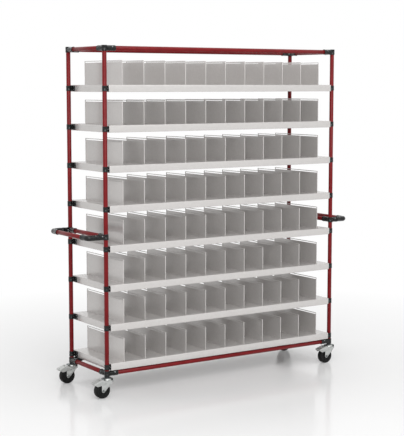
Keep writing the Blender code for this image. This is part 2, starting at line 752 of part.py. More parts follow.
def pedal():
    """Return the brake pedal: a channel with ears on the fork's pins and a shoe over the tread."""
    back = -HEAD_RADIUS - PLATE_SIDE_GAP - PLATE_SHEET - PEDAL_PLATE_GAP
    tip = -PEDAL_LENGTH
    top = PEDAL_TIP_HEIGHT + PEDAL_RISE
    bottom = top - PEDAL_SKIRT_DEPTH
    ear = []
    for angle in PEDAL_EAR_ANGLES:
        x = -PEDAL_PIN_BACK + PEDAL_EAR_RADIUS * cos(radians(angle))
        ear.append((x, PEDAL_PIN_HEIGHT + PEDAL_EAR_RADIUS * sin(radians(angle))))
    outline = [
        (tip, PEDAL_TIP_HEIGHT),
        (tip, PEDAL_TIP_HEIGHT - PEDAL_TIP_DEPTH),
        (tip + PEDAL_TIP_LENGTH, bottom),
        *ear,
        (back, top),
    ]
    item = plate(outline, PEDAL_OUTER)
    room = [
        (tip + PEDAL_SHEET, bottom - PEDAL_SKIRT_DEPTH),
        (0, bottom - PEDAL_SKIRT_DEPTH),
        (0, top + PEDAL_SKIRT_DEPTH),
        (back, top + PEDAL_SKIRT_DEPTH),
        (back, top - PEDAL_SHEET),
        (tip + PEDAL_SHEET, PEDAL_TIP_HEIGHT - PEDAL_SHEET),
    ]
    cut(item, plate(room, PEDAL_INNER))
    shoe_bottom = AXLE_HEIGHT + WHEEL_RADIUS + SHOE_GAP
    shoe_top = top - PEDAL_SHEET / 2
    slope = PEDAL_RISE / (back - tip)
    shoe = [
        (back, shoe_bottom),
        (back, shoe_top),
        (back - SHOE_LENGTH, shoe_top - SHOE_LENGTH * slope),
        (back - SHOE_LENGTH, shoe_bottom),
    ]
    join(item, plate(shoe, SHOE_WIDTH / 2))
    pin_start = Vector((-PEDAL_PIN_BACK, -PEDAL_OUTER - CUT_OVERRUN, PEDAL_PIN_HEIGHT))
    pin_length = 2 * (PEDAL_OUTER + CUT_OVERRUN)
    return cut(item, cylinder(PEDAL_PIN_RADIUS + RUNNING_GAP, pin_length, Y_AXIS, pin_start))


def stem():
    """Return the stem that plugs into an upright and carries the fork on its kingpin."""
    head_top = CROWN_BOTTOM - SEAT_GAP
    plug_radius = TUBE_RADIUS - TUBE_WALL - SEAT_GAP
    plug_top = FRAME_BOTTOM + STEM_PLUG_LENGTH
    profile = [
        (0, plug_top),
        (plug_radius, plug_top),
        (plug_radius, FLANGE_TOP),
        (STEM_FLANGE_RADIUS, FLANGE_TOP),
        (STEM_FLANGE_RADIUS, FLANGE_BOTTOM),
        (KINGPIN_RADIUS, FLANGE_BOTTOM),
        (KINGPIN_RADIUS, head_top),
        (KINGPIN_HEAD_RADIUS, head_top),
        (KINGPIN_HEAD_RADIUS, head_top - KINGPIN_HEAD_DEPTH),
        (0, head_top - KINGPIN_HEAD_DEPTH),
    ]
    return turned(profile, ROUND_SIDES)


def build_casters(collection):
    """Four casters: a stem in the upright, and on its kingpin the fork with axle, wheel and pedal."""
    zinc = zinc_material()
    dark = dark_steel_material()
    axle_offset = Vector((-CASTER_TRAIL, 0, AXLE_HEIGHT))
    pin_offset = Vector((-PEDAL_PIN_BACK, 0, PEDAL_PIN_HEIGHT))
    pedal_item = placed(pedal(), Matrix.Translation(-pin_offset))
    swivelling = {
        "fork": (finished(fork(), "fork", zinc), Vector((0, 0, 0))),
        "axle": (finished(axle(), "axle", zinc), axle_offset),
        "wheel": (finished(wheel(), "wheel", rubber_material()), axle_offset),
        "pedal": (finished(pedal_item, "pedal", zinc), pin_offset),
    }
    stem_mesh = finished(stem(), "stem", dark)
    for name_x, side_x in SIDES_X.items():
        for name_y, side_y in SIDES_Y.items():
            name = f"caster_{name_y}_{name_x}"
            foot = corner_point(side_x, side_y, 0)
            node(collection, f"{name}_stem", stem_mesh, foot)
            swivel = empty(collection, f"{name}_swivel", foot)
            for piece, (mesh, offset) in swivelling.items():
                node(collection, f"{name}_{piece}", mesh, foot + offset, parent=swivel)


def main():
    """Build the whole trolley."""
    clear_scene()
    collection = make_collection(COLLECTION_NAME)
    red = red_tube_material()
    black = joint_material()
    build_uprights(collection, red)
    build_rails(collection, red)
    build_corner_joints(collection, black)
    for name, side in SIDES_X.items():
        build_handle(collection, name, side, red, black)
    build_shelves(collection, sheet_material())
    build_casters(collection)


if __name__ == "__main__":
    main()
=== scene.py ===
import logging
from dataclasses import dataclass
from enum import Enum
from math import cos, pi, radians, sin
from typing import Sequence

import bmesh
import bpy
from mathutils import Matrix, Vector


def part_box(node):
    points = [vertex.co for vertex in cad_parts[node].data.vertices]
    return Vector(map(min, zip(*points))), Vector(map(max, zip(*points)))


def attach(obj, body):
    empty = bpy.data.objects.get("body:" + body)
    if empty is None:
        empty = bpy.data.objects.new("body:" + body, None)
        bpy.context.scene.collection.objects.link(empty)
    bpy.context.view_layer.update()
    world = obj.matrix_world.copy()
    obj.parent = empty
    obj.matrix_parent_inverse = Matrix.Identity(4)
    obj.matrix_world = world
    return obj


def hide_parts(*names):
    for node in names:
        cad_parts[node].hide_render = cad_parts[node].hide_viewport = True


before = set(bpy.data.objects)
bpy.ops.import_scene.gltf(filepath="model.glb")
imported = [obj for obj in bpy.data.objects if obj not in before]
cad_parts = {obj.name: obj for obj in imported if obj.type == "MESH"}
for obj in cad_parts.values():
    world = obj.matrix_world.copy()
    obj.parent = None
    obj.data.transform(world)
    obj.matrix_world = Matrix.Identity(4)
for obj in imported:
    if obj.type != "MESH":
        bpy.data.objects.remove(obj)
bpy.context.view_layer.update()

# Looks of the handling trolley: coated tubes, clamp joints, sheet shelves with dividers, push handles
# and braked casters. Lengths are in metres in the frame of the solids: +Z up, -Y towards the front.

LOG = logging.getLogger("trolley")
MM = 0.001
MERGE = 0.002 * MM
BMesh = bmesh.types.BMesh
Socket = bpy.types.NodeSocket
Span = tuple[float, float]
Outline = Sequence[Span]
QUARTER_X, QUARTER_Z = (Matrix.Rotation(pi / 2, 4, axis) for axis in "XZ")


class EndX(Enum):
    """The two short ends, by the sign of X."""

    LEFT = -1
    RIGHT = 1


class FaceY(Enum):
    """The two long faces, by the sign of Y."""

    FRONT = -1
    REAR = 1


class Level(Enum):
    """The two rings of tubes round the frame, by the height of their axes."""

    TOP = 2.183
    BASE = 0.1518


@dataclass(frozen=True)
class Rack:
    """The distances that the sub-assemblies share, from the solids."""

    half_length: float = 0.900
    half_depth: float = 0.2375
    tube_radius: float = 0.014
    collar_radius: float = 0.018
    sleeve_length: float = 0.075
    joint_height: float = 0.036
    foot: float = 0.1338
    shelf_count: int = 8
    first_shelf: float = 0.215
    shelf_pitch: float = 0.249
    shelf_lip: float = 0.044
    handle_height: float = 1.017
    handle_reach: float = 0.128

    def corner(self, end: EndX, face: FaceY, height: float = 0.0) -> Vector:
        """Return the point of an upright's axis at a height."""
        return Vector((end.value * self.half_length, face.value * self.half_depth, height))


RACK = Rack()
CORNERS = [(end, face) for end in EndX for face in FaceY]
X, Y, Z = Vector((1, 0, 0)), Vector((0, 1, 0)), Vector((0, 0, 1))


def corner_name(end: EndX, face: FaceY) -> str:
    """Return a corner's words as the node names have them."""
    return f"{face.name.lower()}_{end.name.lower()}"


# Mesh tools


def put_right(bm: BMesh) -> BMesh:
    """Merge doubles and turn the faces outwards.

    Args:
        bm: the mesh, changed in place.

    Returns:
        The same mesh.
    """
    bmesh.ops.remove_doubles(bm, verts=bm.verts, dist=MERGE)
    bmesh.ops.recalc_face_normals(bm, faces=bm.faces)
    return bm


def only(kind: type, items: Sequence[object]) -> list:
    """Return the items of one kind out of those that a mesh operator made."""
    return [item for item in items if isinstance(item, kind)]


def line(radius: float, height: float, *points: Span) -> list[Span]:
    """Return points that are given in millimetres from a place at a radius and a height."""
    return [(radius + out * MM, height + up * MM) for out, up in points]


def mirrored(side: Outline) -> list[Span]:
    """Return a line of points with its mirror image below it, joined where the line ends."""
    return [*side, *[(radius, -height) for radius, height in reversed(side)]]


def arc(centre: Span, radius: float, angles: Sequence[int]) -> list[Span]:
    """Return the points of an arc at some angles in degrees."""
    turns = [radians(angle) for angle in angles]
    return [(centre[0] + radius * cos(turn), centre[1] + radius * sin(turn)) for turn in turns]


def soften(bm: BMesh, offset: float, segments: int = 2, angle: float = 30) -> BMesh:
    """Round every edge that is sharper than an angle.

    Args:
        bm: the mesh, changed in place.
        offset: the width of the rounding on each side of the edge.
        segments: the faces across it.
        angle: the least angle in degrees between two faces.

    Returns:
        The same mesh.
    """
    sharp = [edge for edge in bm.edges if len(edge.link_faces) == 2 and edge.calc_face_angle(0) > radians(angle)]
    bmesh.ops.bevel(
        bm, geom=sharp, offset=offset, offset_type="OFFSET", segments=segments, profile=0.5,
        affect="EDGES", clamp_overlap=True, material=-1,
    )
    return bm


def lathe(profile: Outline, steps: int = 32, closed: bool = False) -> BMesh:
    """Spin a line of (radius, height) points about Z.

    Args:
        profile: the points, from one end of the line to the other.
        steps: the number of sides.
        closed: whether the last point is joined to the first.

    Returns:
        The turned mesh.
    """
    bm = bmesh.new()
    points = [bm.verts.new((radius, 0, height)) for radius, height in profile]
    for first, second in zip(points, points[1:]):
        bm.edges.new((first, second))
    if closed:
        bm.edges.new((points[-1], points[0]))
    bmesh.ops.spin(
        bm, geom=bm.verts[:] + bm.edges[:], axis=Z, cent=(0, 0, 0), angle=2 * pi, steps=steps, use_merge=True,
        use_duplicate=False,
    )
    return put_right(bm)


def slab(outline: Outline, low: float, high: float, offset: float = 0.0, segments: int = 2) -> BMesh:
    """Raise an outline in the XY plane to a plate.

    Args:
        outline: the corners in order.
        low: the height of the underside.
        high: the height of the top.
        offset: the rounding of its edges, or zero for none.
        segments: the faces across each rounding.

    Returns:
        The plate.
    """
    bm = bmesh.new()
    face = bm.faces.new([bm.verts.new((x, y, low)) for x, y in outline])
    raised = bmesh.ops.extrude_face_region(bm, geom=[face])["geom"]
    bmesh.ops.translate(bm, vec=Z * (high - low), verts=only(bmesh.types.BMVert, raised))
    put_right(bm)
    return soften(bm, offset, segments) if offset else bm


def side_slab(outline: Outline, low: float, high: float, offset: float = 0.0, segments: int = 2) -> BMesh:
    """Raise an outline in the XZ plane to a plate between two values of Y."""
    return moved(slab(outline, -high, -low, offset, segments), QUARTER_X)


def block(low: Sequence[float], high: Sequence[float], offset: float = 0.0, segments: int = 2) -> BMesh:
    """Make a box between two corners.

    Args:
        low: the lower corner.
        high: the upper corner.
        offset: the rounding of its edges, or zero for none.
        segments: the faces across each rounding.

    Returns:
        The box.
    """
    bm = bmesh.new()
    bmesh.ops.create_cube(bm, size=1)
    size = [b - a for a, b in zip(low, high)]
    middle = Matrix.Translation([(a + b) / 2 for a, b in zip(low, high)])
    bmesh.ops.transform(bm, matrix=middle @ Matrix.Diagonal((*size, 1)), verts=bm.verts)
    return soften(bm, offset, segments) if offset else bm


def pierced(
    xs: Sequence[float], ys: Sequence[float], holes: Sequence[tuple[int, int]], low: float, high: float
) -> BMesh:
    """Return a flat plate on a grid of lines, with a hole through some of its cells.

    Args:
        xs: the grid's values of X, in order.
        ys: the grid's values of Y, in order.
        holes: the cells to leave out, as their places in the rows of X and Y.
        low: the plate's underside.
        high: the plate's top.

    Returns:
        The plate.
    """
    bm = bmesh.new()
    rows = [[bm.verts.new((x, y, low)) for y in ys] for x in xs]
    for i in range(len(xs) - 1):
        for j in range(len(ys) - 1):
            if (i, j) not in holes:
                bm.faces.new((rows[i][j], rows[i][j + 1], rows[i + 1][j + 1], rows[i + 1][j]))
    raised = bmesh.ops.extrude_face_region(bm, geom=bm.faces[:], use_keep_orig=True)
    bmesh.ops.translate(bm, vec=Z * (high - low), verts=only(bmesh.types.BMVert, raised["geom"]))
    bmesh.ops.recalc_face_normals(bm, faces=bm.faces[:])
    return soften(bm, 0.0008, 3)


def moved(bm: BMesh, matrix: Matrix) -> BMesh:
    """Move a mesh by a matrix, and turn its faces outwards again if it was mirrored.

    Args:
        bm: the mesh, changed in place.
        matrix: the move.

    Returns:
        The same mesh.
    """
    bmesh.ops.transform(bm, matrix=matrix, verts=bm.verts)
    if matrix.determinant() < 0:
        bmesh.ops.reverse_faces(bm, faces=bm.faces)
    return bm


def along(direction: Vector, start: Vector | None = None) -> Matrix:
    """Return the matrix that brings +Z to a direction and the origin to a start."""
    turn = Z.rotation_difference(direction).to_matrix().to_4x4()
    return Matrix.Translation(start or Vector((0, 0, 0))) @ turn


def gathered(*parts: BMesh) -> BMesh:
    """Put several meshes into the first one and free the others.

    Args:
        parts: the meshes.

    Returns:
        The first mesh, with all of them in it.
    """
    first = parts[0]
    for part in parts[1:]:
        mesh = bpy.data.meshes.new("part")
        part.to_mesh(mesh)
        part.free()
        first.from_mesh(mesh)
        bpy.data.meshes.remove(mesh)
    return first


def ngon(count: int, radius: float, turn: float = 0.0) -> Outline:
    """Return the corners of a regular outline round the origin."""
    return [(radius * cos(turn + 2 * pi * k / count), radius * sin(turn + 2 * pi * k / count)) for k in range(count)]


class PipeBender:
    """Pushes a ring of points straight ahead and round bends, which leaves a round pipe behind it."""

    def __init__(self, radius: float, start: Vector, direction: Vector, sides: int = 32) -> None:
        """Lay the first ring.

        Args:
            radius: the pipe's radius.
            start: the ring's centre.
            direction: the way that it will be pushed.
            sides: the points in the ring.
        """
        self.bm = bmesh.new()
        self.at = start.copy()
        self.way = direction.normalized()
        bmesh.ops.create_circle(self.bm, segments=sides, radius=radius, matrix=along(self.way, start))
        self.first = self.bm.edges[:]
        self.ring = self.bm.edges[:]

    def push(self, length: float, growth: float) -> None:
        """Push the ring ahead.

        Args:
            length: how far.
            growth: how much its radius grows on the way.
        """
        made = bmesh.ops.extrude_edge_only(self.bm, edges=self.ring)["geom"]
        points = only(bmesh.types.BMVert, made)
        edges = only(bmesh.types.BMEdge, made)
        self.ring = [edge for edge in edges if edge.verts[0] in points and edge.verts[1] in points]
        for point in points:
            point.co += (point.co - self.at).normalized() * growth + self.way * length
        self.at += self.way * length

    def bend(self, towards: Vector, radius: float, steps: int) -> None:
        """Bend the pipe through a right angle.

        Args:
            towards: the way that it runs afterwards.
            radius: the bend's radius on the pipe's axis.
            steps: the rings round the bend.
        """
        points = list({point for edge in self.ring for point in edge.verts})
        centre = self.at + towards * radius
        made = bmesh.ops.spin(
            self.bm, geom=points + self.ring, axis=self.way.cross(towards), cent=centre, angle=pi / 2,
            steps=steps, use_merge=False, use_duplicate=False,
        )
        self.ring = only(bmesh.types.BMEdge, made["geom_last"])
        self.at = centre + self.way * radius
        self.way = towards.copy()

    def closed(self) -> BMesh:
        """Fill both ends.

        Returns:
            The whole pipe.
        """
        for ring in (self.first, self.ring):
            bmesh.ops.holes_fill(self.bm, edges=ring, sides=0)
        return put_right(self.bm)


# Finishes


def linear(code: str) -> tuple[float, float, float, float]:
    """Turn an sRGB hex colour to the linear colour that a shader takes."""
    shares = [int(code[place : place + 2], 16) / 255 for place in (0, 2, 4)]
    return (*[s / 12.92 if s <= 0.04045 else ((s + 0.055) / 1.055) ** 2.4 for s in shares], 1.0)


def add(
    owner: bpy.types.Material | bpy.types.World, kind: str, links: dict[str | int, object] | None = None,
    **settings: object,
) -> bpy.types.Node:
    """Add a node to a material or world.

    Args:
        owner: what the node goes into.
        kind: the node's type, without the ShaderNode that all types start with.
        links: a value, or another node's output, for each input by name or number.
        settings: the node's own properties.

    Returns:
        The node.
    """
    node = owner.node_tree.nodes.new(f"ShaderNode{kind}")
    for name, value in settings.items():
        setattr(node, name, value)
    for name, value in (links or {}).items():
        if isinstance(value, Socket):
            owner.node_tree.links.new(value, node.inputs[name])
        else:
            node.inputs[name].default_value = value
    return node


def seen_directly(owner: bpy.types.Material | bpy.types.World) -> Socket:
    """Tell the camera's rays, and those that gloss or glass sends on, from all others.

    Args:
        owner: the material or world that the nodes go into.

    Returns:
        The socket of a value that is 1 for those rays and else 0.
    """
    path = add(owner, "LightPath")
    seen = path.outputs["Is Camera Ray"]
    for name in ("Is Glossy Ray", "Is Transmission Ray"):
        seen = add(owner, "Math", {0: seen, 1: path.outputs[name]}, operation="MAXIMUM").outputs[0]
    return seen


@dataclass(frozen=True)
class Surface:
    """A material in the making: its Principled shader and the coordinates of its patterns."""

    material: bpy.types.Material
    shader: bpy.types.Node
    place: Socket

    def put(self, name: str, value: Socket | float) -> None:
        """Link a pattern to one of the shader's inputs, or set a constant on the input itself.

        Args:
            name: the input's name.
            value: the pattern's socket, or the constant.
        """
        if isinstance(value, Socket):
            self.material.node_tree.links.new(value, self.shader.inputs[name])
        else:
            self.shader.inputs[name].default_value = value

    def noise(self, size: float, detail: float = 3.0, stretch: Sequence[float] | None = None) -> Socket:
        """Return a noise from 0 to 1.

        Args:
            size: the size of its blotches in metres.
            detail: its octaves.
            stretch: the coordinates' scale along X, Y and Z, if it isn't even.

        Returns:
            The value's socket.
        """
        place = self.place
        if stretch:
            place = add(self.material, "Mapping", {"Vector": place, "Scale": stretch}).outputs["Vector"]
        return add(self.material, "TexNoise", {"Vector": place, "Scale": 1 / size, "Detail": detail}).outputs["Fac"]

    def ranged(self, value: Socket, span: Span, result: Span = (0.0, 1.0)) -> Socket:
        """Return a value that is stretched from one span to another."""
        links = {"Value": value, "From Min": span[0], "From Max": span[1], "To Min": result[0], "To Max": result[1]}
        return add(self.material, "MapRange", links).outputs["Result"]

    def total(self, first: Socket, second: Socket) -> Socket:
        """Return the sum of two values."""
        return add(self.material, "Math", {0: first, 1: second}, operation="ADD").outputs[0]

    def bump(self, height: Socket, depth: float, strength: float) -> None:
        """Give the shader a bump of a depth in metres."""
        links = {"Height": height, "Distance": depth, "Strength": strength}
        self.put("Normal", add(self.material, "Bump", links).outputs["Normal"])


@dataclass(frozen=True)
class Finish:
    """One finish: a Principled surface whose colour, roughness and bump a subclass varies."""

    name: str
    slot: str
    colour: str
    second: str
    roughness: float
    metallic: float = 0.0

    def material(self) -> bpy.types.Material:
        """Make the finish's material, the first time that it is asked for.

        Returns:
            The material.
        """
        known = bpy.data.materials.get(self.name)
        if known:
            return known
        material = bpy.data.materials.new(self.name)
        material.use_nodes = True
        material.diffuse_color = linear(self.colour)
        place = add(material, "TexCoord").outputs["Object"]
        on = Surface(material, material.node_tree.nodes["Principled BSDF"], place)
        on.put("Metallic", self.metallic)
        on.put("Roughness", self.roughness)
        self.dress(on)
        LOG.info("finish %s", self.name)
        return material

    def dress(self, on: Surface) -> None:
        """Link the finish's patterns to its shader; each subclass has its own."""
        raise NotImplementedError

    def vary(self, on: Surface, share: Socket, rub: Socket, span: Span, shift: Span) -> None:
        """Mix the finish's two colours and let a pattern shift its roughness.

        Args:
            on: the surface.
            share: the share of the second colour.
            rub: the pattern.
            span: the values between which the pattern works.
            shift: what it adds to the roughness at the span's two ends.
        """
        colours = {0: share, 6: linear(self.colour), 7: linear(self.second)}
        on.put("Base Color", add(on.material, "Mix", colours, data_type="RGBA").outputs[2])
        on.put("Roughness", on.ranged(rub, span, (self.roughness + shift[0], self.roughness + shift[1])))


@dataclass(frozen=True)
class TubeCoat(Finish):
    """Polyethylene coat drawn over steel tube: an even, slightly waxy red with a faint orange peel."""

    peel: float = 2.2 * MM
    cloud: float = 60 * MM
    rub: float = 9 * MM
    peel_depth: float = 0.03 * MM

    def dress(self, on: Surface) -> None:
        """Cloud the red, vary the gloss where hands and boxes rub it, and add the peel.

        Args:
            on: the surface.
        """
        share = on.ranged(on.noise(self.cloud), (0.35, 0.65))
        self.vary(on, share, on.noise(self.rub, 5.0, (1, 1, 0.25)), (0.3, 0.75), (-0.05, 0.12))
        on.put("IOR", 1.51)
        on.put("Specular IOR Level", 0.2)
        on.bump(on.noise(self.peel, 1.0), self.peel_depth, 0.7)


@dataclass(frozen=True)
class DarkPressing(Finish):
    """Pressed steel with a thin black electro-coat: near black face on, pale where it turns away."""

    grain: float = 0.9 * MM
    haze: float = 0.35
    cloud: float = 14 * MM
    wear: float = 4 * MM
    grain_depth: float = 0.02 * MM

    def dress(self, on: Surface) -> None:
        """Cloud the coat, thin it in specks, haze it and give the pressing its fine grain.

        Args:
            on: the surface.
        """
        share = on.ranged(on.noise(self.cloud, 4.0), (0.35, 0.7))
        self.vary(on, share, on.noise(self.wear, 6.0), (0.3, 0.7), (-0.06, 0.14))
        on.put("Specular IOR Level", 0.32)
        on.put("Sheen Weight", self.haze)
        on.put("Sheen Roughness", 0.3)
        on.bump(on.noise(self.grain, 2.0), self.grain_depth, 0.6)


@dataclass(frozen=True)
class RolledSheet(Finish):
    """Galvanised and skin-rolled sheet: satin grey, with rolling lines and faint zinc crystals."""

    crystal: float = 11 * MM
    line: float = 0.9 * MM
    cloud: float = 120 * MM
    line_depth: float = 0.002 * MM

    def dress(self, on: Surface) -> None:
        """Mix the crystals' tone with the long rolling lines, in colour, gloss and bump.

        Args:
            on: the surface.
        """
        cells = add(on.material, "TexVoronoi", {"Vector": on.place, "Scale": 1 / self.crystal})
        tone = add(on.material, "SeparateColor", {"Color": cells.outputs["Color"]}).outputs["Red"]
        lines = on.noise(self.line, 2.0, (0.02, 0.02, 1))
        three = on.total(on.total(tone, lines), on.noise(self.cloud, 2.0))
        span = (0.9, 2.1)
        self.vary(on, on.ranged(three, span), three, span, (-0.015, 0.025))
        on.bump(lines, self.line_depth, 0.5)


@dataclass(frozen=True)
class ZincPlate(Finish):
    """Bright electroplated zinc on pressed steel: pale and slightly cloudy, with soft dull patches."""

    patch: float = 10 * MM
    drag: float = 1.4 * MM
    drag_depth: float = 0.005 * MM

    def dress(self, on: Surface) -> None:
        """Cloud the plating and dull it in patches, with the drag of the press as bump.

        Args:
            on: the surface.
        """
        cloud = on.ranged(on.noise(self.patch, 4.0), (0.35, 0.7))
        self.vary(on, cloud, cloud, (0.0, 1.0), (-0.02, 0.06))
        on.bump(on.noise(self.drag, 3.0, (0.2, 1, 1)), self.drag_depth, 0.5)


@dataclass(frozen=True)
class Moulded(Finish):
    """Moulded black rubber or plastic: matt, with the fine pitting of the mould and a dusty bloom."""

    pit: float = 0.8 * MM
    depth: float = 0.05 * MM
    bloom: float = 16 * MM

    def dress(self, on: Surface) -> None:
        """Dust the black with the second colour and pit the surface.

        Args:
            on: the surface.
        """
        dust = on.ranged(on.noise(self.bloom, 6.0), (0.45, 0.8))
        self.vary(on, dust, dust, (0.0, 1.0), (0.0, 0.15))
        on.put("IOR", 1.52)
        on.put("Specular IOR Level", 0.2)
        on.bump(on.noise(self.pit, 2.0), self.depth, 0.6)


@dataclass(frozen=True)
class StudioFloor(Finish):
    """Pale satin studio floor that runs out into the white backdrop; being centred on the trolley, that fade also
    paints shade, leaving the floor darker round the trolley in place of part of its soft shadow.
    """

    # near and far bound the fade round the trolley's centre; inside it the floor is darker, painted shade standing in
    # for part of the trolley's shadow.
    near: float = 0.6
    far: float = 3.6
    cloud: float = 0.9

    def dress(self, on: Surface) -> None:
        """Give the floor an even pale colour and fade it to the backdrop's white with distance from the trolley, which
        also paints shade: the floor stays darker near the trolley.

        Args:
            on: the surface.
        """
        cloud = on.noise(self.cloud, 2.0)
        self.vary(on, cloud, cloud, (0.3, 0.7), (0.0, 0.02))
        on.put("Specular IOR Level", 0.2)
        # Painted shade: the fade with distance from the trolley's centre keeps the floor darker close to it, in place
        # of part of its soft shadow; further out it runs into the backdrop's white.
        flat = add(on.material, "VectorMath", {0: on.place}, operation="LENGTH").outputs["Value"]
        share = on.ranged(flat, (self.near, self.far))
        share = add(on.material, "Math", {0: share, 1: seen_directly(on.material)}, operation="MULTIPLY").outputs[0]
        white = add(on.material, "Emission", {"Color": linear("ffffff"), "Strength": 1.0})
        mixed = add(on.material, "MixShader", {0: share, 1: on.shader.outputs[0], 2: white.outputs[0]})
        output = on.material.node_tree.nodes["Material Output"]
        on.material.node_tree.links.new(mixed.outputs[0], output.inputs["Surface"])


RED_TUBE = TubeCoat("red_polyethylene_coated_tube", "red_coated_tube", "6c0a0f", "761015", 0.34)
BLACK_JOINT = DarkPressing("black_electrocoated_pressing", "black_joint", "080909", "131515", 0.2)
SHEET = RolledSheet("galvanised_rolled_sheet", "grey_sheet", "c8c5c3", "cdcac8", 0.24, 0.4)
ZINC = ZincPlate("bright_zinc_plated_pressing", "zinc_plate", "b6b8b6", "c1c3c1", 0.3, 0.8)
BOLT_ZINC = ZincPlate("dull_zinc_plated_bolt", "zinc_plate", "7c8081", "919494", 0.32, 1.0, 3 * MM)
DARK_STEEL = DarkPressing("dark_spring_steel", "dark_steel", "2f3234", "46494b", 0.3, 0.9, 0.6 * MM, 0.1)
TYRE = Moulded("black_moulded_rubber", "black_rubber", "0b0b0b", "181716", 0.55)
HUB = Moulded("black_moulded_nylon", "black_rubber", "0e0f0f", "191919", 0.42, 0.0, 1.1 * MM, 0.02 * MM)
FLOOR = StudioFloor("pale_lacquered_floor", "", "e7e7e7", "eaeaea", 0.14)


def deliver(
    name: str, bm: BMesh, finish: Finish, body: str = "frame", nodes: Sequence[str] = (),
    matrix: Matrix | None = None, smooth: float = 38,
) -> None:
    """Make a copy of a mesh a finished piece of the trolley.

    Args:
        name: the piece's name.
        bm: its mesh, which is left as it is.
        finish: its finish.
        body: the body that it rides on.
        nodes: the solids that it stands for.
        matrix: where it goes, if its mesh isn't there yet.
        smooth: the angle in degrees over which an edge looks sharp.
    """
    mesh = bpy.data.meshes.new(name)
    copy = bm.copy()
    if matrix:
        moved(copy, matrix)
    copy.to_mesh(mesh)
    copy.free()
    mesh.shade_smooth()
    mesh.set_sharp_from_angle(angle=radians(smooth))
    mesh.materials.append(finish.material())
    piece = bpy.data.objects.new(name, mesh)
    bpy.context.scene.collection.objects.link(piece)
    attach(piece, body)
    if nodes:
        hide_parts(*nodes)
    LOG.info("piece %s on %s, %d faces", name, body, len(mesh.polygons))


@dataclass(frozen=True)
class Fastener:
    """A hexagon bolt's head with its washer, or a nut, standing on the XY plane."""

    across: float = 0.010
    height: float = 0.004
    washer: float = 0.0066
    washer_height: float = 0.0012

    def head(self) -> BMesh:
        """Make a hexagon head or nut.

        Returns:
            A washer with a chamfered hexagon and its round end on it.
        """
        ring = lathe([(0.001, 0), (self.washer, 0), (self.washer, self.washer_height), (0.001, self.washer_height)],
                     20, closed=True)
        top = self.washer_height + self.height
        radius = self.across / 2 / cos(pi / 6)
        hexagon = slab(ngon(6, radius), self.washer_height, top, 0.0005, 2)
        boss = lathe([(0, top + 0.0004), (self.across * 0.36, top + 0.0004), (self.across * 0.42, top - 0.0002)], 20)
        return gathered(ring, hexagon, boss)

    def socket_head(self) -> BMesh:
        """Make a socket head.

        Returns:
            A round head with a hexagon socket sunk in it.
        """
        radius = self.across / 2
        wall = [(radius * 0.55, self.height * 0.45), (radius * 0.55, self.height), (radius * 0.92, self.height),
                (radius, self.height * 0.9), (radius, 0), (0, 0)]
        floor_part = lathe([(0, self.height * 0.45), (radius * 0.55, self.height * 0.45)], 6)
        return gathered(lathe(wall, 24), floor_part)


SET_SCREW = Fastener(0.0085, 0.0016, 0.005)


# Sub-assemblies


@dataclass
class Tubing:
    """The red tubes: uprights, the rings round the top and base, and the handles' tubes."""

    radius: float = RACK.tube_radius
    wall: float = 0.0015
    rim: float = 0.0004
    sides: int = 40

    def run(self, length: float) -> BMesh:
        """Make a tube along +Z.

        Args:
            length: its length.

        Returns:
            The hollow tube with its cut rims broken.
        """
        inner = self.radius - self.wall
        outer = self.radius - self.rim
        return lathe(
            [(inner, 0), (outer, 0), (self.radius, self.rim), (self.radius, length - self.rim), (outer, length),
             (inner, length)],
            self.sides, closed=True,
        )

    def lay(self, node: str, way: Vector) -> None:
        """Put a tube in the place of a node.

        Args:
            node: the node's name, which the piece takes over.
            way: the axis that it runs along.
        """
        low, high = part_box(node)
        length = (high - low).dot(way)
        middle = (low + high) / 2
        start = middle - way * length / 2
        if way == Z:
            end, face = [pair for pair in CORNERS if node.endswith(corner_name(*pair))][0]
            start = RACK.corner(end, face, low.z)
        deliver(f"{node}_tube", self.run(length), RED_TUBE, nodes=[node], matrix=along(way, start), smooth=50)

    def build(self) -> None:
        """Lay all tubes."""
        for end, face in CORNERS:
            self.lay(f"upright_{corner_name(end, face)}", Z)
        for level in Level:
            for face in FaceY:
                self.lay(f"{level.name.lower()}_tube_{face.name.lower()}", X)
            for end in EndX:
                self.lay(f"{level.name.lower()}_tube_{end.name.lower()}", Y)
        for end in EndX:
            self.lay(f"handle_cross_tube_{end.name.lower()}", Y)
            self.lay(f"handle_bar_{end.name.lower()}", Y)


